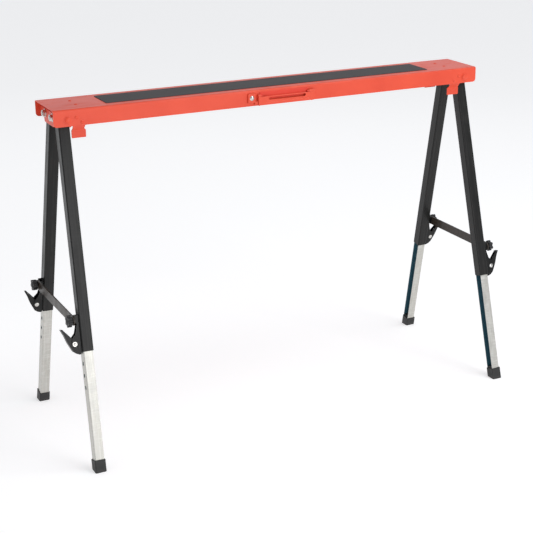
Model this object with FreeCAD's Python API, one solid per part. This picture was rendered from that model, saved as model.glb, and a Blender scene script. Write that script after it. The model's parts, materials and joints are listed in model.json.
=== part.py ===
import FreeCAD, Part
import math
import os
from FreeCAD import Vector, Rotation, Placement

# Folding trestle. Millimetres, +Z up, floor at Z = 0, beam along X, origin under the middle of the beam.
# Legs are drawn in a leg frame: x out from the sleeve's outboard face, y across, z = 0 at the leg bolt, down is -z.
# An end set (bracket, legs, strap) is drawn about the fold pivot for the +X end, then leaned and placed.

# beam
BEAM_LENGTH = 1000.0
BEAM_WIDTH = 122.0
BEAM_DEPTH = 34.0
BEAM_SHEET = 1.8
BEAM_TOP_Z = 723.0
BEAM_BEND_RADIUS = 4.0
FLANGE_CORNER_RADIUS = 7.0
GRIP_LENGTH = 765.0
GRIP_WIDTH = 78.0
GRIP_THICKNESS = 1.0
TOP_RIVET_X = 440.0
TOP_RIVET_Y = 19.5
DOUBLER_SHEET = 2.0

# fold pivot and leg stance
PIVOT_X = 470.0
PIVOT_Z = 701.5
PIVOT_SHANK = 8.0
PIVOT_BOSS = 6.5
PIVOT_BOSS_OUT = 2.2
SPLAY_DEG = 13.7
LEAN_DEG = 1.55
LEG_BOLT_Y = 25.0
LEG_BOLT_RADIUS = 4.0
LEG_FACE = 14.5
RUNNING_GAP = 0.05
SIDE_GAP = 0.25

# end bracket
EAR_RADIUS = 13.0
BRACKET_SHEET = 2.5
END_PLATE_IN = 18.0
EAR_GAP = 0.5
TONGUE_HALF_WIDTH = 30.0
TONGUE_BOTTOM = -18.5

# legs
TUBE_SIDE = 23.4
TUBE_WALL = 1.2
TUBE_CORNER = 2.4
SLEEVE_LENGTH = 473.5
INNER_ACROSS = 20.5
INNER_DEEP = 20.0
INNER_SHEET = 1.5
INNER_TOP = 330.0
INNER_BOTTOM = 716.0
HOLE_PITCH = 25.0
HOLE_COUNT_EACH_WAY = 3
HOLE_ACROSS = 7.0
HOLE_TALL = 8.0
FOOT_DEEP = 23.6
FOOT_ACROSS = 24.4
FOOT_TALL = 24.0
FOOT_PLUG = 4.0

# latch and knob on each sleeve
KNOB_DOWN = 409.0
LATCH_PIN_DOWN = 456.0
LATCH_PIN_OUT = 13.0
LATCH_PIN = 5.0
LATCH_PIN_HEAD = 4.7
SPRING_WIRE = 0.5
SPRING_RADIUS = 3.7
SPRING_PITCH = 1.3
SPRING_OPEN_DEG = 70.5
TOOTH_TOP = 470.6
TOOTH_TALL = 4.0
TOOTH_ACROSS = 5.0
TOOTH_TIP = -3.8
TOOTH_ROOT = 12.4
LATCH_SHEET = 1.5
LATCH_HALF_WIDTH = 7.0
LEVER_HALF_WIDTH = 5.2
SEAT_OUT = 8.0
STUD = 6.0
KNOB_RADIUS = 12.5
KNOB_LOBES = 6

# strap between the two legs of an end
STRAP_TALL = 20.0
STRAP_SHEET = 3.0
STRAP_IN = SEAT_OUT + 0.3
SLOT_WIDTH = 7.0
SLOT_LEAN_DEG = 28.3

# release tab inside each flange, one by each pivot
TAB_X = 447.0
TAB_SHEET = 1.5
TAB_FACE_Y = 58.0
TAB_FINGER_Y = 48.5
TAB_CURL_Z = 711.0
TAB_CURL_RADIUS = 1.6
TAB_BOTTOM_Z = 661.5
TAB_HOLE_RADIUS = 3.1
SMALL_RIVETS = ((453.5, 706.0), (441.7, 695.0))
RIVET_SHANK = 2.4

# carry handle on the front flange
HANDLE_AXIS_Z = 710.0
HANDLE_AXIS_OUT = 4.0
HANDLE_EAR_RADIUS = 3.6
HANDLE_LEFT_X = -57.0
HANDLE_RIGHT_X = 77.0
HANDLE_SHEET = 1.6
HANDLE_DEPTH = 6.6
HANDLE_BOTTOM_Z = 690.0
HANDLE_SLOT_Z = 703.5
HANDLE_SLOT_LEFT = -33.0
HANDLE_SLOT_RIGHT = 55.0
HANDLE_SLOT_HALF = 3.2
HANDLE_PIN_RADIUS = 1.5
KEEPER_LEFT = -80.0
KEEPER_RIGHT = -62.5
KEEPER_OUT = 4.2
KEEPER_SCREW_X = -71.0
KEEPER_SCREW_Z = 706.5

HALF_WIDTH = BEAM_WIDTH / 2
FLANGE_INNER_Y = HALF_WIDTH - BEAM_SHEET
EAR_OUTER_Y = FLANGE_INNER_Y - EAR_GAP
X_AXIS = Vector(1, 0, 0)
Y_AXIS = Vector(0, 1, 0)
Z_AXIS = Vector(0, 0, 1)


def block(x0, x1, y0, y1, z0, z1):
    """A box from its six limits."""
    return Part.makeBox(x1 - x0, y1 - y0, z1 - z0, Vector(x0, y0, z0))


def rod(start, direction, radius, length):
    """A round bar."""
    return Part.makeCylinder(radius, length, start, direction)


def dome(base, direction, radius, height):
    """A low domed head standing on a flat face."""
    ball_radius = (radius * radius + height * height) / (2 * height)
    centre = base - direction * (ball_radius - height)
    ball = Part.makeSphere(ball_radius, centre)
    return ball.common(rod(base, direction, radius, height * 1.01))


def plate(points, normal, thickness):
    """A flat plate: its outline extruded along the normal."""
    outline = Part.makePolygon(list(points) + [points[0]])
    return Part.Face(outline).extrude(normal * thickness)


def fuse(shapes):
    """One clean solid from touching or overlapping pieces."""
    return shapes[0].multiFuse(shapes[1:]).removeSplitter()


def round_edges(shape, radius, test):
    """Fillets the edges that pass the test."""
    return shape.makeFillet(radius, [edge for edge in shape.Edges if test(edge)])


def runs_along(edge, direction):
    """Whether an edge is straight and runs along a direction."""
    if len(edge.Vertexes) != 2 or not isinstance(edge.Curve, Part.Line):
        return False
    along = edge.Vertexes[1].Point - edge.Vertexes[0].Point
    return abs(along.dot(direction)) > 0.999 * along.Length


def mirrored_pair(shape, normal):
    """A shape and its mirror image, as separate solids."""
    return [shape, shape.mirror(Vector(0, 0, 0), normal)]


def end_placement(side):
    """Puts an end set, drawn about the fold pivot, at one end of the beam."""
    lean = Placement(Vector(PIVOT_X, 0, PIVOT_Z), Rotation(Y_AXIS, -LEAN_DEG))
    turn = Placement(Vector(0, 0, 0), Rotation(Z_AXIS, 0 if side > 0 else 180))
    return turn.multiply(lean)


def leg_placement(side, front_or_back):
    """Puts a leg drawn in the leg frame on its bolt, splayed and leaned."""
    outward = front_or_back * side
    splay = Placement(Vector(LEG_FACE, outward * LEG_BOLT_Y, 0), Rotation(X_AXIS, outward * SPLAY_DEG))
    return end_placement(side).multiply(splay)


def placed(shape, placement):
    """A moved copy of a shape."""
    copy = shape.copy()
    copy.transformShape(placement.toMatrix())
    return copy


def save(name, shapes):
    """Writes a node as one STEP file of separate solids."""
    whole = shapes[0] if len(shapes) == 1 else Part.makeCompound(shapes)
    whole.exportStep("parts/" + name + ".step")


# ---------------------------------------------------------------- beam


def beam_channel():
    """Folded sheet channel, open below and at both ends."""
    half = BEAM_LENGTH / 2
    bottom = BEAM_TOP_Z - BEAM_DEPTH
    outer = block(-half, half, -HALF_WIDTH, HALF_WIDTH, bottom, BEAM_TOP_Z)
    outer = round_edges(
        outer,
        BEAM_BEND_RADIUS,
        lambda e: runs_along(e, X_AXIS) and e.CenterOfMass.z > BEAM_TOP_Z - 1,
    )
    under = BEAM_TOP_Z - BEAM_SHEET
    inner = block(-half - 1, half + 1, -FLANGE_INNER_Y, FLANGE_INNER_Y, bottom - 1, under)
    inner = round_edges(
        inner,
        BEAM_BEND_RADIUS - BEAM_SHEET,
        lambda e: runs_along(e, X_AXIS) and e.CenterOfMass.z > under - 1,
    )
    side = block(-half, half, -HALF_WIDTH, HALF_WIDTH, bottom, BEAM_TOP_Z)
    side = round_edges(
        side,
        FLANGE_CORNER_RADIUS,
        lambda e: runs_along(e, Y_AXIS) and e.CenterOfMass.z < bottom + 1,
    )
    shell = outer.cut(inner).common(side)
    holes = []
    across = BEAM_WIDTH + 2
    for end in (-1, 1):
        start = Vector(end * PIVOT_X, -across / 2, PIVOT_Z)
        holes.append(rod(start, Y_AXIS, PIVOT_SHANK / 2, across))
        for x, z in SMALL_RIVETS:
            holes.append(rod(Vector(end * x, -across / 2, z), Y_AXIS, RIVET_SHANK, across))
        for y in (-TOP_RIVET_Y, TOP_RIVET_Y):
            holes.append(rod(Vector(end * TOP_RIVET_X, y, under - 1), Z_AXIS, RIVET_SHANK, BEAM_SHEET + 2))
    return shell.cut(Part.makeCompound(holes))


def grip_strip():
    """Thin rubber pad on the beam's top, with rounded corners."""
    pad = block(
        -GRIP_LENGTH / 2,
        GRIP_LENGTH / 2,
        -GRIP_WIDTH / 2,
        GRIP_WIDTH / 2,
        BEAM_TOP_Z,
        BEAM_TOP_Z + GRIP_THICKNESS,
    )
    return round_edges(pad, 3.0, lambda e: runs_along(e, Z_AXIS))


def stiffener(end):
    """Doubler plate under the beam's top at one end."""
    under = BEAM_TOP_Z - BEAM_SHEET
    middle = end * TOP_RIVET_X
    pad = block(middle - 14, middle + 14, -34, 34, under - DOUBLER_SHEET, under)
    pad = round_edges(pad, 4.0, lambda e: runs_along(e, Z_AXIS))
    for y in (-TOP_RIVET_Y, TOP_RIVET_Y):
        pad = pad.cut(rod(Vector(middle, y, under - 3), Z_AXIS, RIVET_SHANK, 4))
    return pad


def top_rivet(x, y):
    """Low rivet through the beam's top and the doubler plate."""
    bottom = BEAM_TOP_Z - BEAM_SHEET - DOUBLER_SHEET
    shank = rod(Vector(x, y, bottom), Z_AXIS, RIVET_SHANK, BEAM_TOP_Z - bottom)
    head = dome(Vector(x, y, BEAM_TOP_Z), Z_AXIS, 3.8, 1.5)
    tail = dome(Vector(x, y, bottom), -Z_AXIS, 3.4, 1.4)
    return fuse([shank, head, tail])


def pivot_rivet(end, face):
    """Big shouldered rivet: the fold pivot through one flange and one bracket ear."""
    out = Vector(0, face, 0)
    outer = Vector(end * PIVOT_X, face * HALF_WIDTH, PIVOT_Z)
    length = BEAM_SHEET + EAR_GAP + BRACKET_SHEET + SIDE_GAP
    inner = outer - out * length
    shank = rod(inner, out, PIVOT_SHANK / 2, length)
    ring = rod(outer, out, 8.6, 0.9)
    boss = rod(outer, out, PIVOT_BOSS, PIVOT_BOSS_OUT)
    head = dome(outer + out * PIVOT_BOSS_OUT, out, PIVOT_BOSS, 1.3)
    tail = rod(inner - out * 2.0, out, PIVOT_BOSS, 2.0)
    return fuse([shank, ring, boss, head, tail])


def small_rivet(x, z, face, stand_off):
    """Domed rivet through a flange, with its tail clear of the release tab it guides."""
    out = Vector(0, face, 0)
    outer = Vector(x, face * HALF_WIDTH, z)
    length = HALF_WIDTH - TAB_FACE_Y + TAB_SHEET + stand_off
    inner = outer - out * length
    shank = rod(inner, out, RIVET_SHANK, length)
    head = dome(outer, out, 4.2, 2.0)
    tail = dome(inner, -out, 3.8, 1.5)
    return fuse([shank, head, tail])


# ---------------------------------------------------------------- release tab


def release_tab():
    """Sprung sheet tab: plate beside the ear, then a finger tongue below the flange. Front face outward is +Y."""
    inner = TAB_FACE_Y - TAB_SHEET
    knee = BEAM_TOP_Z - BEAM_DEPTH
    fold = knee - 11.5
    profile = [
        Vector(0, TAB_FACE_Y, TAB_CURL_Z),
        Vector(0, TAB_FACE_Y, knee),
        Vector(0, TAB_FINGER_Y, fold),
        Vector(0, TAB_FINGER_Y, TAB_BOTTOM_Z),
        Vector(0, TAB_FINGER_Y - TAB_SHEET, TAB_BOTTOM_Z),
        Vector(0, TAB_FINGER_Y - TAB_SHEET, fold + 0.6),
        Vector(0, inner, knee + 0.6),
        Vector(0, inner, TAB_CURL_Z),
    ]
    sheet = plate([p + Vector(TAB_X - 16, 0, 0) for p in profile], X_AXIS, 32)
    low = TAB_BOTTOM_Z - 1
    shape = [
        Vector(TAB_X - 10.5, 0, TAB_CURL_Z + 2),
        Vector(TAB_X - 10.5, 0, knee + 6),
        Vector(TAB_X - 13.0, 0, knee + 1),
        Vector(TAB_X - 12.2, 0, fold + 3),
        Vector(TAB_X - 15.8, 0, fold - 1),
        Vector(TAB_X - 15.8, 0, low),
        Vector(TAB_X + 13.9, 0, low),
        Vector(TAB_X + 13.9, 0, fold - 1),
        Vector(TAB_X + 12.2, 0, fold + 3),
        Vector(TAB_X + 13.0, 0, knee + 1),
        Vector(TAB_X + 13.0, 0, TAB_CURL_Z + 2),
    ]
    outline = plate(shape, Y_AXIS, HALF_WIDTH)
    outline = round_edges(
        outline,
        3.0,
        lambda e: runs_along(e, Y_AXIS) and e.CenterOfMass.z < low + 0.5,
    )
    sheet = sheet.common(outline)
    corner = Vector(TAB_X - 10.5, TAB_FACE_Y - TAB_CURL_RADIUS, TAB_CURL_Z)
    curl = rod(corner, X_AXIS, TAB_CURL_RADIUS, 18.5)
    tab = fuse([sheet, curl])
    ear_room = rod(Vector(PIVOT_X, 0, PIVOT_Z), Y_AXIS, EAR_RADIUS + 0.6, HALF_WIDTH)
    tab = tab.cut(ear_room)
    holes = [rod(Vector(x, 0, z), Y_AXIS, TAB_HOLE_RADIUS, HALF_WIDTH) for x, z in SMALL_RIVETS]
    tab = tab.cut(Part.makeCompound(holes))
    return max(tab.Solids, key=lambda s: s.Volume)


# ---------------------------------------------------------------- carry handle


def handle_lug_starts():
    """Left ends of the two fixed hinge lugs."""
    return (HANDLE_LEFT_X + 5.6, HANDLE_RIGHT_X - 17.0)


def handle_base():
    """Hinge leaf fixed on the front flange, with two round lugs for the handle's pins."""
    face = -HALF_WIDTH
    left, right = handle_lug_starts()
    leaf = block(left, right + 3.0, face - 1.2, face, HANDLE_AXIS_Z - 8, HANDLE_AXIS_Z + 8)
    leaf = round_edges(leaf, 1.0, lambda e: runs_along(e, X_AXIS) and e.CenterOfMass.y < face - 1)
    pieces = [leaf]
    for x in (left, right):
        pieces.append(rod(Vector(x, face - HANDLE_AXIS_OUT, HANDLE_AXIS_Z), X_AXIS, 2.6, 3.0))
        pieces.append(block(x, x + 3.0, face - HANDLE_AXIS_OUT, face, HANDLE_AXIS_Z - 2.0, HANDLE_AXIS_Z + 2.6))
    base = fuse(pieces)
    for x in (left, right):
        base = base.cut(rod(Vector(x - 1, face - HANDLE_AXIS_OUT, HANDLE_AXIS_Z), X_AXIS, HANDLE_PIN_RADIUS, 5.0))
    return base


def handle_pins():
    """Two hinge pins that the handle swings on."""
    left, right = handle_lug_starts()
    out = -HALF_WIDTH - HANDLE_AXIS_OUT
    return [
        rod(Vector(left - 3.9, out, HANDLE_AXIS_Z), X_AXIS, HANDLE_PIN_RADIUS, 6.9),
        rod(Vector(right, out, HANDLE_AXIS_Z), X_AXIS, HANDLE_PIN_RADIUS, 14.0),
    ]


def handle_grip():
    """Shallow tray-shaped carry handle with a long slot, hanging against the flange on two ears."""
    back = -HALF_WIDTH - 0.4
    front = back - HANDLE_DEPTH
    out = -HALF_WIDTH - HANDLE_AXIS_OUT
    top = HANDLE_AXIS_Z - 1.6
    tray = block(HANDLE_LEFT_X, HANDLE_RIGHT_X, front, back, HANDLE_BOTTOM_Z, top)
    tray = round_edges(tray, 2.5, lambda e: runs_along(e, Y_AXIS) and e.CenterOfMass.z < HANDLE_BOTTOM_Z + 1)
    tray = round_edges(tray, 1.0, lambda e: abs(e.CenterOfMass.y - front) < 0.01)
    hollow = block(
        HANDLE_LEFT_X + HANDLE_SHEET,
        HANDLE_RIGHT_X - HANDLE_SHEET,
        front + HANDLE_SHEET,
        back + 1,
        HANDLE_BOTTOM_Z + HANDLE_SHEET,
        top + 1,
    )
    tray = tray.cut(hollow)
    left, right = handle_lug_starts()
    pieces = [tray]
    for x0, x1 in ((HANDLE_LEFT_X, left - 0.6), (right + 3.6, HANDLE_RIGHT_X)):
        pieces.append(rod(Vector(x0, out, HANDLE_AXIS_Z), X_AXIS, HANDLE_EAR_RADIUS, x1 - x0))
        pieces.append(block(x0, x1, front + 0.4, out, top - 6, HANDLE_AXIS_Z))
    for x in (HANDLE_LEFT_X + 1.8, HANDLE_RIGHT_X - 7.0):
        pieces.append(rod(Vector(x, front + 1.0, HANDLE_BOTTOM_Z + 0.6), Y_AXIS, 1.4, 3.0))
    grip = fuse(pieces)
    slot = block(
        HANDLE_SLOT_LEFT,
        HANDLE_SLOT_RIGHT,
        front - 1,
        front + HANDLE_SHEET + 1,
        HANDLE_SLOT_Z - HANDLE_SLOT_HALF,
        HANDLE_SLOT_Z + HANDLE_SLOT_HALF,
    )
    slot = round_edges(slot, HANDLE_SLOT_HALF - 0.1, lambda e: runs_along(e, Y_AXIS))
    groove = rod(Vector(-40, front - 1.1, HANDLE_BOTTOM_Z + 6.5), X_AXIS, 1.6, 104)
    grip = grip.cut(slot).cut(groove)
    for x in (left - 0.8, right - 0.8):
        grip = grip.cut(rod(Vector(x, out, HANDLE_AXIS_Z), X_AXIS, 3.2, 4.6))
    for x in (HANDLE_LEFT_X + 1.4, right):
        grip = grip.cut(rod(Vector(x, out, HANDLE_AXIS_Z), X_AXIS, HANDLE_PIN_RADIUS + RUNNING_GAP, 15.0))
    return grip


def handle_keeper():
    """Small dished plate beside the handle that keeps it from swinging while folded flat."""
    face = -HALF_WIDTH
    front = face - KEEPER_OUT
    cup = block(KEEPER_LEFT, KEEPER_RIGHT, front, face, 696.5, 716.0)
    cup = round_edges(cup, 2.0, lambda e: runs_along(e, Y_AXIS))
    cup = round_edges(cup, 1.2, lambda e: e.CenterOfMass.y < front + 0.1)
    tongue = block(KEEPER_RIGHT - 1.5, HANDLE_LEFT_X - 0.6, front, front + 1.2, 692.0, 699.0)
    cup = fuse([cup, tongue])
    return cup.cut(rod(Vector(KEEPER_SCREW_X, face + 0.1, KEEPER_SCREW_Z), -Y_AXIS, 2.2, 6))


def keeper_screw():
    """Round pan head screw with a cross recess."""
    x = KEEPER_SCREW_X
    y = -HALF_WIDTH - KEEPER_OUT
    z = KEEPER_SCREW_Z
    head = dome(Vector(x, y, z), -Y_AXIS, 5.2, 2.6)
    shank = rod(Vector(x, y, z), Y_AXIS, 2.2, KEEPER_OUT)
    screw = fuse([head, shank])
    screw = screw.cut(block(x - 2, x + 2, y - 3, y - 1.4, z - 0.5, z + 0.5))
    return screw.cut(block(x - 0.5, x + 0.5, y - 3, y - 1.4, z - 2, z + 2))


# ---------------------------------------------------------------- end bracket (about the fold pivot)


def end_bracket():
    """Folded bracket: an end plate outside the legs and two ears on the fold rivets."""
    plate_out = END_PLATE_IN + BRACKET_SHEET
    ears = []
    for face in (-1, 1):
        inner = face * (EAR_OUTER_Y - BRACKET_SHEET)
        low = min(inner, face * EAR_OUTER_Y)
        boss = rod(Vector(0, low, 0), Y_AXIS, EAR_RADIUS, BRACKET_SHEET)
        web = block(0, plate_out, low, low + BRACKET_SHEET, -8.0, 9.0)
        ears += [boss, web]
    half = [
        (TONGUE_HALF_WIDTH, TONGUE_BOTTOM),
        (TONGUE_HALF_WIDTH + 4, -10.0),
        (EAR_OUTER_Y, -8.0),
        (EAR_OUTER_Y, 4.5),
        (EAR_OUTER_Y - 5.0, 9.5),
    ]
    outline = [Vector(END_PLATE_IN, y, z) for y, z in half]
    outline += [Vector(END_PLATE_IN, -y, z) for y, z in reversed(half)]
    end = plate(outline, X_AXIS, BRACKET_SHEET)
    end = round_edges(
        end,
        4.0,
        lambda e: runs_along(e, X_AXIS) and e.CenterOfMass.z < TONGUE_BOTTOM + 1,
    )
    bracket = fuse([end] + ears)
    holes = [rod(Vector(0, -HALF_WIDTH, 0), Y_AXIS, PIVOT_SHANK / 2 + RUNNING_GAP, BEAM_WIDTH)]
    for y in (-LEG_BOLT_Y, LEG_BOLT_Y):
        holes.append(rod(Vector(END_PLATE_IN - 1, y, 0), X_AXIS, LEG_BOLT_RADIUS, BRACKET_SHEET + 2))
    return bracket.cut(Part.makeCompound(holes))


def leg_bolt(y):
    """Shouldered bolt from the inboard side through the leg and the end plate."""
    head_face = LEG_FACE - TUBE_SIDE - SIDE_GAP
    end = END_PLATE_IN + BRACKET_SHEET + 7.5
    shank = rod(Vector(head_face, y, 0), X_AXIS, LEG_BOLT_RADIUS, end - head_face)
    head = dome(Vector(head_face, y, 0), -X_AXIS, 7.5, 4.6)
    return fuse([shank, head])


def leg_spacer(y):
    """Spacer ring between the leg and the end plate."""
    start = LEG_FACE + SIDE_GAP
    ring = rod(Vector(start, y, 0), X_AXIS, 9.0, END_PLATE_IN - start)
    return ring.cut(rod(Vector(start - 1, y, 0), X_AXIS, LEG_BOLT_RADIUS, 10))


def leg_nut(y):
    """Hexagon nut with chamfered corners on the outside of the end plate."""
    across_corners = 15.0 / 2
    start = END_PLATE_IN + BRACKET_SHEET
    ring = []
    for k in range(6):
        angle = math.radians(60 * k + 15)
        ring.append(Vector(start, y + across_corners * math.cos(angle), across_corners * math.sin(angle)))
    nut = plate(ring, X_AXIS, 6.5)
    cone = Part.makeCone(11.0, 6.4, 6.5, Vector(start, y, 0), X_AXIS)
    nut = nut.common(cone)
    washer = rod(Vector(start, y, 0), X_AXIS, 8.6, 1.4)
    nut = fuse([nut, washer])
    return nut.cut(rod(Vector(start - 1, y, 0), X_AXIS, LEG_BOLT_RADIUS, 9))


def strap():
    """Flat bar between the knobs: round hole at the pivot leg, open hook slot at the other."""
    reach = LEG_BOLT_Y + KNOB_DOWN * math.sin(math.radians(SPLAY_DEG))
    level = -KNOB_DOWN * math.cos(math.radians(SPLAY_DEG))
    x = LEG_FACE + STRAP_IN
    half = STRAP_TALL / 2
    bar = block(x, x + STRAP_SHEET, -reach, reach, level - half, level + half)
    ends = [rod(Vector(x, y, level), X_AXIS, half, STRAP_SHEET) for y in (-reach, reach)]
    bar = fuse([bar] + ends)
    bar = bar.cut(rod(Vector(x - 1, reach, level), X_AXIS, STUD / 2 + RUNNING_GAP, STRAP_SHEET + 2))
    slot = block(x - 1, x + STRAP_SHEET + 1, -SLOT_WIDTH / 2, SLOT_WIDTH / 2, -2 * STRAP_TALL, 0)
    slot = slot.fuse(rod(Vector(x - 1, 0, 0), X_AXIS, SLOT_WIDTH / 2, STRAP_SHEET + 2))
    slot.rotate(Vector(0, 0, 0), X_AXIS, SLOT_LEAN_DEG)
    slot.translate(Vector(0, -reach, level))
    return bar.cut(slot)


# ---------------------------------------------------------------- legs (leg frame)


def square_tube(side, wall, corner, top, bottom):
    """Square tube with rounded corners, outboard face at x = 0."""
    outer = block(-side, 0, -side / 2, side / 2, -bottom, -top)
    outer = round_edges(outer, corner, lambda e: runs_along(e, Z_AXIS))
    inner = block(-side + wall, -wall, -side / 2 + wall, side / 2 - wall, -bottom - 1, -top + 1)
    inner = round_edges(inner, corner - wall, lambda e: runs_along(e, Z_AXIS))
    return outer.cut(inner)


def outer_leg():
    """Sleeve: square tube with a rounded pivot end and a notch for the latch tooth."""
    radius = TUBE_SIDE / 2
    tube = square_tube(TUBE_SIDE, TUBE_WALL, TUBE_CORNER, -radius, SLEEVE_LENGTH)
    envelope = block(-TUBE_SIDE, 0, -radius, radius, -SLEEVE_LENGTH, 0)
    envelope = envelope.fuse(rod(Vector(-TUBE_SIDE, 0, 0), X_AXIS, radius, TUBE_SIDE))
    tube = tube.common(envelope)
    cuts = [rod(Vector(-TUBE_SIDE - 1, 0, 0), X_AXIS, LEG_BOLT_RADIUS + RUNNING_GAP, TUBE_SIDE + 2)]
    cuts.append(block(-TUBE_WALL - 1, 1, -4.5, 4.5, -SLEEVE_LENGTH - 1, -464.0))
    return tube.cut(Part.makeCompound(cuts))


def inner_face_x():
    """Outboard face of the inner leg, in the leg frame."""
    return -TUBE_WALL - SIDE_GAP


def inner_leg():
    """Folded channel open to the inboard side, with a row of latch holes in its web."""
    face = inner_face_x()
    half = INNER_ACROSS / 2
    outer = block(face - INNER_DEEP, face, -half, half, -INNER_BOTTOM, -INNER_TOP)
    outer = round_edges(outer, 2.2, lambda e: runs_along(e, Z_AXIS) and e.CenterOfMass.x > face - 1)
    room = block(face - INNER_DEEP - 1, face - INNER_SHEET, -half + INNER_SHEET, half - INNER_SHEET, -800, 0)
    room = round_edges(room, 0.7, lambda e: runs_along(e, Z_AXIS) and e.CenterOfMass.x > face - 3)
    leg = outer.cut(room)
    holes = []
    for k in range(-HOLE_COUNT_EACH_WAY, HOLE_COUNT_EACH_WAY + 1):
        top = -(TOOTH_TOP - 0.5 + k * HOLE_PITCH)
        hole = block(face - 3, face + 1, -HOLE_ACROSS / 2, HOLE_ACROSS / 2, top - HOLE_TALL, top)
        holes.append(round_edges(hole, 1.4, lambda e: runs_along(e, X_AXIS)))
    return leg.cut(Part.makeCompound(holes))


def foot_solid():
    """Rubber cap over the inner leg's end, longer than needed; the floor cut comes after placing."""
    face = inner_face_x()
    centre = face - INNER_DEEP / 2
    rim = INNER_BOTTOM + 6.9 - FOOT_TALL
    cap = block(
        centre - FOOT_DEEP / 2,
        centre + FOOT_DEEP / 2,
        -FOOT_ACROSS / 2,
        FOOT_ACROSS / 2,
        -(INNER_BOTTOM + 16),
        -rim,
    )
    cap = round_edges(cap, 2.5, lambda e: runs_along(e, Z_AXIS))
    cap = round_edges(cap, 0.8, lambda e: abs(e.CenterOfMass.z + rim) < 0.01)
    inside = INNER_ACROSS / 2 - INNER_SHEET
    plug = block(face - INNER_DEEP + 1, face - INNER_SHEET, -inside, inside, -rim - 1, -rim + FOOT_PLUG)
    plug = round_edges(plug, 0.7, lambda e: runs_along(e, Z_AXIS) and e.CenterOfMass.x > face - 3)
    return fuse([cap, plug]).cut(inner_leg())


def foot(placement):
    """Foot cap on its leg, cut flat where it stands on the floor."""
    cap = placed(foot_solid(), placement)
    floor = block(-2000, 2000, -2000, 2000, -200, 0)
    return cap.cut(floor)


# ---------------------------------------------------------------- latch and knob (leg frame)


def side_profile(points, half_width):
    """A solid with a given outline seen from the side; points are (down, out)."""
    outline = [Vector(out, -half_width, -down) for down, out in points]
    return plate(outline, Y_AXIS, 2 * half_width)


def latch_bracket():
    """Folded bracket on the sleeve: strap seat with its stud above, two shark-fin ears for the lever below."""
    seat_top = KNOB_DOWN - 11
    seat_end = KNOB_DOWN + 4
    tail = LATCH_PIN_DOWN + 19
    outline = [
        (seat_top, 0.0),
        (seat_top, SEAT_OUT),
        (seat_end, SEAT_OUT),
        (seat_end + 2, 4.5),
        (seat_end + 11, 5.8),
        (LATCH_PIN_DOWN - 20, 9.3),
        (LATCH_PIN_DOWN - 13, 15.5),
        (LATCH_PIN_DOWN - 9, 18.0),
        (LATCH_PIN_DOWN - 2, 19.3),
        (LATCH_PIN_DOWN + 6, 17.0),
        (LATCH_PIN_DOWN + 14, 10.0),
        (tail, 2.5),
        (tail, 0.0),
    ]
    body = side_profile(outline, LATCH_HALF_WIDTH)
    body = round_edges(body, 2.0, lambda e: runs_along(e, Y_AXIS) and e.CenterOfMass.x > 15.0)
    room = LATCH_HALF_WIDTH - LATCH_SHEET
    body = body.cut(block(LATCH_SHEET, SEAT_OUT - LATCH_SHEET, -room, room, -LATCH_PIN_DOWN, 0))
    body = body.cut(block(LATCH_SHEET, 30, -room, room, -tail - 1, -seat_end))
    body = body.cut(block(-1, 30, -room, room, -tail - 1, -LATCH_PIN_DOWN - 5))
    stud = rod(Vector(SEAT_OUT - LATCH_SHEET, 0, -KNOB_DOWN), X_AXIS, STUD / 2, 15.0)
    body = fuse([body, stud])
    bore = rod(Vector(LATCH_PIN_OUT, -15, -LATCH_PIN_DOWN), Y_AXIS, LATCH_PIN / 2, 30)
    return body.cut(bore)


def latch_pin():
    """Rivet through the ears that the lever turns on, with flat heads."""
    start = Vector(LATCH_PIN_OUT, -LATCH_HALF_WIDTH, -LATCH_PIN_DOWN)
    pieces = [rod(start, Y_AXIS, LATCH_PIN / 2, 2 * LATCH_HALF_WIDTH)]
    for face in (-1, 1):
        out = Vector(0, face, 0)
        base = Vector(LATCH_PIN_OUT, face * LATCH_HALF_WIDTH, -LATCH_PIN_DOWN)
        pieces.append(rod(base, out, LATCH_PIN_HEAD, 0.9))
        pieces.append(dome(base + out * 0.9, out, LATCH_PIN_HEAD - 1.3, 0.8))
    return fuse(pieces)


def latch_lever():
    """Horn-shaped folded lever: thumb blade above the pin, locking tooth below it."""
    back = [
        (423.5, 38.8),
        (437.0, 32.3),
        (452.0, 27.0),
        (462.0, 22.0),
        (471.5, 17.0),
        (476.5, 10.5),
        (478.7, 4.8),
    ]
    nose = [(478.5, 1.2), (471.0, 1.2), (466.0, 4.0)]
    front = [(460.0, 7.0), (453.0, 7.5), (449.5, 12.5), (444.8, 16.6), (434.7, 25.2), (426.0, 33.0), (424.0, 34.0)]
    body = side_profile(back + nose + front, LEVER_HALF_WIDTH)
    under_blade = [(426.0, 36.0), (437.0, 30.4), (451.4, 25.3), (461.2, 20.4), (470.2, 15.6), (474.9, 9.7), (476.6, 5.0)]
    cheek_room = side_profile(under_blade + [(476.4, 0.0), (440.0, 0.0)], LEVER_HALF_WIDTH - LATCH_SHEET)
    body = body.cut(cheek_room)
    top = -TOOTH_TOP
    bottom = -TOOTH_TOP - TOOTH_TALL
    half = TOOTH_ACROSS / 2
    tooth = block(TOOTH_TIP, TOOTH_ROOT, -half, half, bottom, top)
    chamfer = [
        Vector(TOOTH_TIP - 0.1, -4, bottom - 0.1),
        Vector(TOOTH_TIP - 0.1, -4, bottom + 1.6),
        Vector(TOOTH_TIP + 2.0, -4, bottom - 0.1),
    ]
    body = fuse([body, tooth.cut(plate(chamfer, Y_AXIS, 8))])
    bore = rod(Vector(LATCH_PIN_OUT, -15, -LATCH_PIN_DOWN), Y_AXIS, LATCH_PIN / 2 + RUNNING_GAP, 30)
    return body.cut(bore)


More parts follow.
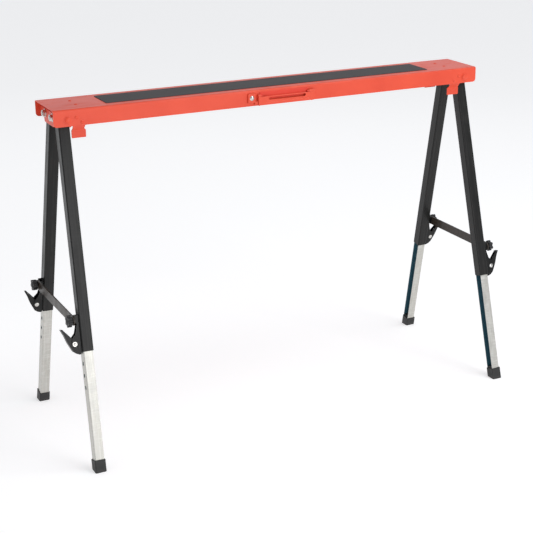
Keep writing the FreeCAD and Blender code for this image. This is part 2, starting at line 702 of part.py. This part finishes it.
def latch_spring():
    """Torsion spring round the pin, wound up: one arm reaches under the blade, the other to the bracket."""
    length = SPRING_PITCH * (4 + SPRING_OPEN_DEG / 360)
    end = math.radians(SPRING_OPEN_DEG)
    start = Vector(SPRING_RADIUS, 0, 0)
    coil = Part.makeLongHelix(SPRING_PITCH, length, SPRING_RADIUS)
    rise = SPRING_PITCH / (2 * math.pi * SPRING_RADIUS)
    section = Part.Wire([Part.makeCircle(SPRING_WIRE, start, Vector(0, 1, rise))])
    turns = Part.Wire(coil.Edges).makePipeShell([section], True, True)
    blade_arm = rod(start, -Y_AXIS, SPRING_WIRE, 21.0)
    finish = Vector(SPRING_RADIUS * math.cos(end), SPRING_RADIUS * math.sin(end), length)
    bracket_arm = rod(finish, Vector(-math.sin(end), math.cos(end), 0), SPRING_WIRE, 10.8)
    pieces = [turns, blade_arm, bracket_arm]
    for piece in pieces:
        piece.translate(Vector(0, 0, -length / 2))
        piece.rotate(Vector(0, 0, 0), X_AXIS, -90)
        piece.rotate(Vector(0, 0, 0), Y_AXIS, 90 - SPRING_OPEN_DEG)
        piece.translate(Vector(LATCH_PIN_OUT, 0, -LATCH_PIN_DOWN))
    return pieces


def star_knob():
    """Lobed clamping knob on the strap stud, with a hub and a domed centre."""
    start = STRAP_IN + STRAP_SHEET + 0.3
    centre = Vector(0, 0, -KNOB_DOWN)
    hub = rod(Vector(start, 0, 0) + centre, X_AXIS, 7.0, 3.0)
    body = rod(Vector(start + 2.0, 0, 0) + centre, X_AXIS, 9.6, 9.0)
    lobes = []
    for k in range(KNOB_LOBES):
        angle = 2 * math.pi * k / KNOB_LOBES
        offset = Vector(start + 2.0, 9.3 * math.sin(angle), 9.3 * math.cos(angle))
        lobes.append(rod(offset + centre, X_AXIS, 3.2, 9.0))
    cap = dome(Vector(start + 11.0, 0, 0) + centre, X_AXIS, 8.0, 2.2)
    knob = fuse([hub, body, cap] + lobes)
    for k in range(KNOB_LOBES):
        angle = 2 * math.pi * (k + 0.5) / KNOB_LOBES
        offset = Vector(start + 1.0, 12.0 * math.sin(angle), 12.0 * math.cos(angle))
        knob = knob.cut(rod(offset + centre, X_AXIS, 3.0, 12.0))
    bore = rod(Vector(start - 1, 0, 0) + centre, X_AXIS, STUD / 2 + RUNNING_GAP, 11.6)
    return knob.cut(bore)


# ---------------------------------------------------------------- build


def build_beam():
    """Everything fixed to the beam, and the handle."""
    save("beam_channel", [beam_channel()])
    save("grip_strip", [grip_strip()])
    rivets = []
    for end in (-1, 1):
        for y in (-TOP_RIVET_Y, TOP_RIVET_Y):
            rivets.append(top_rivet(end * TOP_RIVET_X, y))
    save("top_rivets", rivets)
    save("doubler_plates", [stiffener(-1), stiffener(1)])
    for end, name in ((-1, "left"), (1, "right")):
        save("pivot_rivets_" + name, [pivot_rivet(end, -1), pivot_rivet(end, 1)])
    upper, lower = SMALL_RIVETS
    guides = []
    for end in (-1, 1):
        for face in (-1, 1):
            guides.append(small_rivet(end * upper[0], upper[1], face, 1.6))
            guides.append(small_rivet(end * lower[0], lower[1], face, 3.4))
    save("tab_rivets", guides)
    save("handle_base", [handle_base()])
    save("handle_pins", handle_pins())
    save("handle_grip", [handle_grip()])
    save("handle_keeper", [handle_keeper()])
    save("keeper_screw", [keeper_screw()])


def build_tabs():
    """Four release tabs, two at each end."""
    back_right = release_tab()
    front_right = back_right.mirror(Vector(0, 0, 0), Y_AXIS)
    save("release_tab_back_right", [back_right])
    save("release_tab_front_right", [front_right])
    save("release_tab_back_left", [back_right.mirror(Vector(0, 0, 0), X_AXIS)])
    save("release_tab_front_left", [front_right.mirror(Vector(0, 0, 0), X_AXIS)])


def build_end(side, name):
    """Bracket, bolts, nuts and strap of one end."""
    at = end_placement(side)
    save("bracket_" + name, [placed(end_bracket(), at)])
    bolts = []
    nuts = []
    for y in (-LEG_BOLT_Y, LEG_BOLT_Y):
        bolts += [placed(leg_bolt(y), at), placed(leg_spacer(y), at)]
        nuts.append(placed(leg_nut(y), at))
    save("leg_bolts_" + name, bolts)
    save("leg_nuts_" + name, nuts)
    save("strap_" + name, [placed(strap(), at)])


def build_leg(side, front_or_back, name):
    """One telescopic leg with its latch, knob and foot."""
    at = leg_placement(side, front_or_back)
    save("outer_leg_" + name, [placed(outer_leg(), at)])
    save("inner_leg_" + name, [placed(inner_leg(), at)])
    save("foot_" + name, [foot(at)])
    save("latch_bracket_" + name, [placed(latch_bracket(), at)])
    save("latch_pin_" + name, [placed(latch_pin(), at)])
    save("latch_lever_" + name, [placed(latch_lever(), at)])
    save("latch_spring_" + name, [placed(piece, at) for piece in latch_spring()])
    save("strap_knob_" + name, [placed(star_knob(), at)])


os.makedirs("parts", exist_ok=True)
build_beam()
build_tabs()
for side, side_name in ((-1, "left"), (1, "right")):
    build_end(side, side_name)
    for face, face_name in ((-1, "front"), (1, "back")):
        build_leg(side, face, face_name + "_" + side_name)
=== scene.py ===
import json
import math

import bpy
from mathutils import Matrix, Vector


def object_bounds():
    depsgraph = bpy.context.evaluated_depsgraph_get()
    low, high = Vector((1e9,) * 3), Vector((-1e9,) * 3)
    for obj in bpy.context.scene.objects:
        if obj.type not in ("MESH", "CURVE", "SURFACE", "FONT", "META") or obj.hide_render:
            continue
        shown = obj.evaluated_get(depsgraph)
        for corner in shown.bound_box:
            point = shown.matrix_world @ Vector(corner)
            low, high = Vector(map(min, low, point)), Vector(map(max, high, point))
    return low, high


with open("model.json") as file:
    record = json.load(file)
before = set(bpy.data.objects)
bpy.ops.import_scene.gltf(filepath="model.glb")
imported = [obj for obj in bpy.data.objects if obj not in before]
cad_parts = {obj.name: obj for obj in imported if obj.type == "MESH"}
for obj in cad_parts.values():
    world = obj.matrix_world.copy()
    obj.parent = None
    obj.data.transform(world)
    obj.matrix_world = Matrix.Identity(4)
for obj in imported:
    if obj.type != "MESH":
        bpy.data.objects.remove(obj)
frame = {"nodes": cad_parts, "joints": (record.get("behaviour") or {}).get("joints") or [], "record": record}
CAD_BOX = [list(corner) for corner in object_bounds()]
NODES = frame["nodes"]
FLOOR_Z = CAD_BOX[0][2]

# The painted teal reflection inside an inner leg's channel starts within the thickness
# of its sheet. Places in the leg's own frame, metres.
BLUE_BEHIND = -0.0026         # outward from the bolt, within the web
BLUE_WITHIN = 0.0095          # across from the bolt, within each flange
BLUE_BLEND = 0.0003

# Sizes and places, metres.
DUST_HEIGHT = 0.010           # how far dust climbs a foot
FLOOR_SIZE = 24.0
LIGHT_TARGET = (0, 0, 0.45)

# The room's light at the horizon and overhead: height of the direction, then strength.
HORIZON = (0.02, 0.86)
OVERHEAD = (0.28, 0.47)
FLOOR_GLOW = 0.50

# The photograph's viewpoint, from a fit to the beam and the feet.
CAMERA_PLACE = (-1.220, -2.5226, 1.2754)
CAMERA_YAW = 0.4949
CAMERA_PITCH = 0.3208
CAMERA_SENSOR = 36.0          # mm
CAMERA_LENS = 88.13           # mm
CAMERA_SHIFT = (-0.112, -0.0355)

# Metallic of the bare zinc and of the painted teal reflection inside an inner leg, and the roughness of a
# clear coat.
ZINC_METALLIC = 0.8
BLUE_METALLIC = 0.15
COAT_ROUGHNESS = 0.12

# Colours, linear.
RED = (0.80, 0.086, 0.040)
RED_DEEP = (0.70, 0.062, 0.028)
# Lighter edge red: worn, thin paint and a painted highlight.
RED_WORN_HIGHLIGHT = (0.84, 0.17, 0.10)
# Painted shade: the handle leaf's deeper red stands in for the shade of its recess.
LEAF_RED_SHADED = (0.76, 0.050, 0.026)
ENAMEL = (0.011, 0.011, 0.0105)
ENAMEL_DUSTY = (0.040, 0.038, 0.036)
ENAMEL_BARE = (0.16, 0.14, 0.12)
LATCH_BLACK = (0.007, 0.007, 0.007)
# Strap colours: the brown is a painted reflection of a warm room on black enamel; the paler brown adds dust
# to it.
STRAP_REFLECTED_BROWN = (0.036, 0.028, 0.022)
STRAP_PALE = (0.062, 0.050, 0.040)
# The zinc colours' warm beige tint is a painted reflection of a brownish room; the grey is the zinc's own.
ZINC = (0.56, 0.55, 0.51)
ZINC_DULL = (0.44, 0.43, 0.39)
ZINC_BRIGHT = (0.70, 0.70, 0.67)
# Painted reflection: teal for the inside of an inner leg's channel.
ZINC_TEAL_REFLECTION = (0.055, 0.145, 0.19)
PLATED = (0.72, 0.71, 0.68)
PLATED_DULL = (0.46, 0.45, 0.42)
GRIP = (0.050, 0.047, 0.048)
GRIP_PALE = (0.088, 0.083, 0.083)
RUBBER = (0.018, 0.018, 0.018)
RUBBER_DUSTY = (0.045, 0.044, 0.042)
PLASTIC = (0.020, 0.020, 0.021)
PLASTIC_WORN = (0.05, 0.05, 0.052)
FLOOR = (0.72, 0.72, 0.72)
WORLD = (0.93, 0.95, 1.0)


class Finish:
    """A material and short ways to build its node tree."""

    def __init__(self, name, metallic=0.0, coat=0.0, specular=0.5):
        self.material = bpy.data.materials.new(name)
        self.material.use_nodes = True
        self.tree = self.material.node_tree
        self.shader = self.tree.nodes["Principled BSDF"]
        self.shader.inputs["Metallic"].default_value = metallic
        self.shader.inputs["Coat Weight"].default_value = coat
        self.shader.inputs["Coat Roughness"].default_value = COAT_ROUGHNESS
        self.shader.inputs["Specular IOR Level"].default_value = specular

    def link(self, source, target):
        self.tree.links.new(source, target)

    def feed(self, socket, value):
        """Link value if it is a socket, or else set it."""
        if isinstance(value, bpy.types.NodeSocket):
            self.link(value, socket)
        elif socket.type == "RGBA":
            socket.default_value = (*value, 1.0)
        else:
            socket.default_value = value

    def place(self, leg=None):
        """Object coordinates in metres, or a leg's own: out, across and up from its bolt."""
        coordinates = self.tree.nodes.new("ShaderNodeTexCoord").outputs["Object"]
        if leg is None:
            return coordinates

        turn = Matrix(leg["axes"])
        mapping = self.tree.nodes.new("ShaderNodeMapping")
        mapping.inputs["Rotation"].default_value = turn.to_euler()
        mapping.inputs["Location"].default_value = -(turn @ leg["bolt"])
        self.link(coordinates, mapping.inputs["Vector"])
        return mapping.outputs["Vector"]

    def stretch(self, vector, scale):
        """vector times scale, axis by axis."""
        node = self.tree.nodes.new("ShaderNodeVectorMath")
        node.operation = "MULTIPLY"
        self.link(vector, node.inputs[0])
        node.inputs[1].default_value = scale
        return node.outputs["Vector"]

    def noise(self, vector, scale, detail=3.0, roughness=0.55):
        node = self.tree.nodes.new("ShaderNodeTexNoise")
        self.link(vector, node.inputs["Vector"])
        node.inputs["Scale"].default_value = scale
        node.inputs["Detail"].default_value = detail
        node.inputs["Roughness"].default_value = roughness
        return node.outputs["Fac"]

    def cells(self, vector, scale, output="Distance"):
        node = self.tree.nodes.new("ShaderNodeTexVoronoi")
        self.link(vector, node.inputs["Vector"])
        node.inputs["Scale"].default_value = scale
        return node.outputs[output]

    def span(self, value, low, high, to_low=0.0, to_high=1.0):
        """value from low to high, held at the ends, becomes to_low to to_high."""
        node = self.tree.nodes.new("ShaderNodeMapRange")
        self.feed(node.inputs["Value"], value)
        node.inputs["From Min"].default_value = low
        node.inputs["From Max"].default_value = high
        node.inputs["To Min"].default_value = to_low
        node.inputs["To Max"].default_value = to_high
        return node.outputs["Result"]

    def math(self, operation, first, second=0.0):
        node = self.tree.nodes.new("ShaderNodeMath")
        node.operation = operation
        self.feed(node.inputs[0], first)
        self.feed(node.inputs[1], second)
        return node.outputs["Value"]

    def mix(self, factor, first, second):
        node = self.tree.nodes.new("ShaderNodeMix")
        node.data_type = "RGBA"
        colours = [socket for socket in node.inputs if socket.type == "RGBA"]
        self.feed(node.inputs["Factor"], factor)
        self.feed(colours[0], first)
        self.feed(colours[1], second)
        return next(socket for socket in node.outputs if socket.type == "RGBA")

    def part(self, vector, axis):
        """One component of a vector or colour: 0, 1 or 2."""
        node = self.tree.nodes.new("ShaderNodeSeparateXYZ")
        self.link(vector, node.inputs["Vector"])
        return node.outputs[axis]

    def edges(self, radius):
        """0 on flat surfaces, rising on edges tighter than radius."""
        bevel = self.tree.nodes.new("ShaderNodeBevel")
        bevel.samples = 4
        bevel.inputs["Radius"].default_value = radius
        normal = self.tree.nodes.new("ShaderNodeNewGeometry").outputs["Normal"]
        node = self.tree.nodes.new("ShaderNodeVectorMath")
        node.operation = "DOT_PRODUCT"
        self.link(bevel.outputs["Normal"], node.inputs[0])
        self.link(normal, node.inputs[1])
        return self.span(node.outputs["Value"], 0.99, 0.75)

    def bumps(self, *layers):
        """Each layer is (height, strength, distance in metres). The first is the finest."""
        normal = None
        for height, strength, distance in layers:
            node = self.tree.nodes.new("ShaderNodeBump")
            node.inputs["Strength"].default_value = strength
            node.inputs["Distance"].default_value = distance
            self.link(height, node.inputs["Height"])
            if normal is not None:
                self.link(normal, node.inputs["Normal"])
            normal = node.outputs["Normal"]
        self.link(normal, self.shader.inputs["Normal"])

    def done(self, colour, roughness):
        self.feed(self.shader.inputs["Base Color"], colour)
        self.feed(self.shader.inputs["Roughness"], roughness)
        return self.material


def red_powder_coat(name, red=RED, deep=RED_DEEP):
    """Semi-gloss powder coat: orange peel, faint mottle, scuffs, and lighter edges that are thin paint and a
    painted highlight.
    """
    f = Finish(name, specular=0.32)
    at = f.place()
    mottle = f.span(f.noise(at, 14.0, 4.0), 0.35, 0.7, 0.0, 0.6)
    colour = f.mix(mottle, red, deep)
    # Lighter edges: partly worn, thin paint and partly a painted highlight along the edges.
    worn = f.math("MULTIPLY", f.edges(0.0012), f.span(f.noise(at, 160.0), 0.3, 0.6))
    colour = f.mix(f.math("MULTIPLY", worn, 0.6), colour, RED_WORN_HIGHLIGHT)
    scuff = f.span(f.noise(f.stretch(at, (12.0, 60.0, 60.0)), 1.0, 5.0, 0.7), 0.5, 0.75)
    peel = f.noise(at, 650.0, 2.0)
    waves = f.noise(at, 120.0, 2.0)
    f.bumps((peel, 0.14, 0.0002), (waves, 0.10, 0.0006))
    return f.done(colour, f.span(scuff, 0.0, 1.0, 0.34, 0.48))


def black_enamel(name, leg=None, base=ENAMEL, dusty=ENAMEL_DUSTY):
    """Gloss enamel on drawn tube: long streaks, smudges and a few fine scratches."""
    f = Finish(name, coat=0.10, specular=0.20)
    at = f.place(leg)
    streak = f.noise(f.stretch(at, (260.0, 260.0, 5.0)), 1.0, 4.0, 0.6)
    smudge = f.noise(f.stretch(at, (45.0, 45.0, 16.0)), 1.0, 5.0, 0.65)
    scratch = f.noise(f.stretch(at, (900.0, 900.0, 9.0)), 1.0, 2.0)
    dust = f.math("MULTIPLY", f.span(streak, 0.46, 0.72), f.span(smudge, 0.38, 0.66))
    dust = f.math("MAXIMUM", dust, f.span(scratch, 0.71, 0.76, 0.0, 0.6))
    worn = f.math("MULTIPLY", f.edges(0.0010), f.span(f.noise(at, 90.0), 0.42, 0.62))
    colour = f.mix(dust, base, dusty)
    colour = f.mix(f.math("MULTIPLY", worn, 0.5), colour, ENAMEL_BARE)
    dull = f.math("MAXIMUM", dust, f.span(smudge, 0.4, 0.7))
    roughness = f.span(dull, 0.0, 1.0, 0.28, 0.46)
    f.bumps((f.noise(at, 800.0, 2.0), 0.08, 0.0002), (streak, 0.05, 0.0004))
    return f.done(colour, roughness)


def galvanised(name, leg=None):
    """Zinc strip: faint spangle, ripples across from the rolls and bright marks.

    Inside the channel of an inner leg, a painted teal reflection of the room replaces the zinc colour, with
    less metal and less roughness.
    """
    f = Finish(name, metallic=ZINC_METALLIC)
    at = f.place(leg)
    spangle = f.part(f.cells(f.stretch(at, (1.0, 1.0, 0.55)), 150.0, "Color"), 0)
    ripple = f.noise(f.stretch(at, (38.0, 38.0, 330.0)), 1.0, 3.0, 0.6)
    patch = f.span(f.noise(f.stretch(at, (60.0, 60.0, 11.0)), 1.0, 3.0), 0.42, 0.62)
    streak = f.noise(f.stretch(at, (420.0, 420.0, 6.0)), 1.0, 3.0)
    marks = f.math("MULTIPLY", f.span(ripple, 0.46, 0.62), patch)
    colour = f.mix(f.span(streak, 0.35, 0.7), ZINC, ZINC_DULL)
    colour = f.mix(f.math("MULTIPLY", spangle, 0.25), colour, ZINC_BRIGHT)
    colour = f.mix(f.math("MULTIPLY", marks, 0.5), colour, ZINC_BRIGHT)
    roughness = f.span(f.math("ADD", spangle, marks), 0.0, 1.6, 0.32, 0.48)
    if leg is not None:
        # Painted reflection: teal inside the channel stands in for the room reflected on its inner faces.
        outward = f.math("MULTIPLY", f.part(at, 0), leg["outward"])
        across = f.math("ABSOLUTE", f.part(at, 1))
        behind_web = f.span(outward, BLUE_BEHIND, BLUE_BEHIND + BLUE_BLEND, 1.0, 0.0)
        between = f.span(across, BLUE_WITHIN - BLUE_BLEND, BLUE_WITHIN, 1.0, 0.0)
        inside = f.math("MULTIPLY", behind_web, between)
        colour = f.mix(inside, colour, ZINC_TEAL_REFLECTION)
        roughness = f.math("SUBTRACT", roughness, f.math("MULTIPLY", inside, 0.18))
        metal = f.span(inside, 0.0, 1.0, ZINC_METALLIC, BLUE_METALLIC)
        f.feed(f.shader.inputs["Metallic"], metal)
    f.bumps((ripple, 0.10, 0.0003), (f.noise(at, 70.0), 0.06, 0.001))
    return f.done(colour, roughness)


def plated_hardware(name):
    """Bright zinc plate on rivets, pins and nuts, with cloudy dull patches."""
    f = Finish(name, metallic=1.0)
    at = f.place()
    cloud = f.span(f.noise(at, 260.0, 4.0), 0.35, 0.7)
    colour = f.mix(cloud, PLATED, PLATED_DULL)
    roughness = f.span(f.noise(at, 520.0), 0.3, 0.7, 0.16, 0.34)
    f.bumps((f.noise(at, 1400.0, 2.0), 0.10, 0.0002))
    return f.done(colour, roughness)


def grip_mat(name):
    """Moulded rubber mat: fine grain, pale scuffs along its length and pressed-in dust."""
    f = Finish(name)
    at = f.place()
    grain = f.noise(at, 900.0, 4.0, 0.7)
    pebble = f.cells(at, 620.0)
    scuff = f.noise(f.stretch(at, (9.0, 70.0, 70.0)), 1.0, 6.0, 0.7)
    colour = f.mix(f.span(scuff, 0.42, 0.72), GRIP, GRIP_PALE)
    colour = f.mix(f.span(grain, 0.52, 0.8, 0.0, 0.6), colour, GRIP_PALE)
    f.bumps((pebble, 0.5, 0.0003), (grain, 0.4, 0.0004))
    return f.done(colour, f.span(scuff, 0.4, 0.7, 0.72, 0.9))


def foot_rubber(name):
    """Moulded rubber with a fine grain, dusty where it stands on the floor."""
    f = Finish(name)
    at = f.place()
    height = f.part(at, 2)
    low = f.span(height, FLOOR_Z + DUST_HEIGHT, FLOOR_Z, 0.0, 0.8)
    dust = f.math("MULTIPLY", low, f.span(f.noise(at, 130.0, 5.0), 0.35, 0.65))
    colour = f.mix(dust, RUBBER, RUBBER_DUSTY)
    grain = f.noise(at, 1100.0, 3.0)
    f.bumps((grain, 0.30, 0.0002), (f.noise(at, 90.0), 0.15, 0.0008))
    return f.done(colour, f.span(f.noise(at, 60.0), 0.35, 0.65, 0.48, 0.66))


def moulded_plastic(name):
    """Black knobs: fine mould grain, paler where hands wear the edges."""
    f = Finish(name, specular=0.35)
    at = f.place()
    worn = f.math("MULTIPLY", f.edges(0.0012), f.span(f.noise(at, 200.0), 0.35, 0.6))
    colour = f.mix(worn, PLASTIC, PLASTIC_WORN)
    f.bumps((f.noise(at, 1500.0, 3.0), 0.25, 0.0002))
    return f.done(colour, f.span(f.noise(at, 150.0), 0.3, 0.7, 0.34, 0.48))


def coat(node, material):
    """Put the material on every slot of a CAD node."""
    for slot in NODES[node].material_slots:
        slot.material = material


def leg_frame(corner):
    """A leg's own axes as rows (along the beam, across, up its length) and its bolt."""
    joints = {joint["name"]: joint for joint in frame["joints"]}
    up = -Vector(joints["extend_" + corner]["axis"]).normalized()
    along_beam = Vector((1, 0, 0))
    out = (along_beam - up * along_beam.dot(up)).normalized()
    return {
        "axes": [out, up.cross(out), up],
        "bolt": Vector(joints["splay_" + corner]["pos_m"]),
        "outward": 1.0 if corner.endswith("right") else -1.0,
    }


def paint_everything():
    """A material for each slot of the record, then the pieces that need their own."""
    by_slot = {
        "red_paint": red_powder_coat("red_powder_coat"),
        "black_paint": black_enamel("black_enamel", base=LATCH_BLACK),
        "galvanised_steel": galvanised("galvanised"),
        "zinc_steel": plated_hardware("plated_hardware"),
        "grip_rubber": grip_mat("grip_mat"),
        "foot_rubber": foot_rubber("foot_rubber"),
        "black_plastic": moulded_plastic("moulded_plastic"),
    }
    for part in frame["record"]["subparts"]:
        coat(part["node"], by_slot[part["material_slot"]])
    # Painted shade: a deeper red on the handle's leaf for the shade of its recess.
    coat("handle_base", red_powder_coat("leaf_red_in_shade", LEAF_RED_SHADED, LEAF_RED_SHADED))
    # Painted reflection: the straps' brown colour stands in for a warm room reflected in their black enamel.
    strap_painted_reflection = black_enamel("strap_painted_reflection", base=STRAP_REFLECTED_BROWN, dusty=STRAP_PALE)
    for end in ("left", "right"):
        coat("strap_" + end, strap_painted_reflection)
        for corner in ("front_" + end, "back_" + end):
            leg = leg_frame(corner)
            coat("outer_leg_" + corner, black_enamel("enamel_" + corner, leg))
            coat("inner_leg_" + corner, galvanised("zinc_" + corner, leg))


def make_floor():
    """A pale floor with a faint glow of its own, as white as the photograph's."""
    bpy.ops.mesh.primitive_plane_add(size=FLOOR_SIZE, location=(0, 0, FLOOR_Z))
    floor = bpy.context.object
    floor.name = "studio_floor"
    f = Finish("studio_floor")
    f.shader.inputs["Emission Color"].default_value = (1, 1, 1, 1)
    f.shader.inputs["Emission Strength"].default_value = FLOOR_GLOW
    floor.data.materials.append(f.done(FLOOR, 0.9))


def softbox(name, location, width, height, power):
    """A rectangular lamp, metres and watts, turned to the middle of the sawhorse."""
    data = bpy.data.lights.new(name, "AREA")
    data.shape = "RECTANGLE"
    data.size = width
    data.size_y = height
    data.energy = power
    lamp = bpy.data.objects.new(name, data)
    lamp.location = location
    view = Vector(LIGHT_TARGET) - Vector(location)
    lamp.rotation_euler = view.to_track_quat("-Z", "Y").to_euler()
    bpy.context.scene.collection.objects.link(lamp)


def make_world():
    """A plain pale room: as bright as the floor at the horizon, dimmer overhead."""
    world = bpy.data.worlds.new("studio")
    world.use_nodes = True
    nodes = world.node_tree.nodes
    links = world.node_tree.links
    direction = nodes.new("ShaderNodeTexCoord")
    height = nodes.new("ShaderNodeSeparateXYZ")
    fade = nodes.new("ShaderNodeMapRange")
    fade.inputs["From Min"].default_value, fade.inputs["To Min"].default_value = HORIZON
    fade.inputs["From Max"].default_value, fade.inputs["To Max"].default_value = OVERHEAD
    links.new(direction.outputs["Generated"], height.inputs["Vector"])
    links.new(height.outputs["Z"], fade.inputs["Value"])
    links.new(fade.outputs["Result"], nodes["Background"].inputs["Strength"])
    nodes["Background"].inputs["Color"].default_value = (*WORLD, 1.0)
    bpy.context.scene.world = world


def make_lights():
    """Soft boxes in front, above and behind, in the pale room."""
    softbox("key", (1.3, -2.8, 2.3), width=1.2, height=1.2, power=17.0)
    softbox("low_front", (0.5, -3.4, 0.75), width=1.5, height=1.3, power=17.0)
    softbox("overhead", (1.17, -0.83, 2.9), width=1.4, height=1.4, power=24.0)
    softbox("back", (1.36, 2.5, 1.65), width=2.6, height=1.2, power=3.0)
    make_world()


def make_camera():
    """The photograph's viewing angle: from the front left, a little above the beam."""
    data = bpy.data.cameras.new("camera")
    data.sensor_width = CAMERA_SENSOR
    data.lens = CAMERA_LENS
    data.shift_x, data.shift_y = CAMERA_SHIFT
    camera = bpy.data.objects.new("camera", data)
    camera.location = CAMERA_PLACE
    camera.rotation_euler = (math.pi / 2 - CAMERA_PITCH, 0.0, -CAMERA_YAW)
    bpy.context.scene.collection.objects.link(camera)
    bpy.context.scene.camera = camera


paint_everything()
make_floor()
make_lights()
make_camera()
bpy.context.scene.view_settings.view_transform = "Standard"
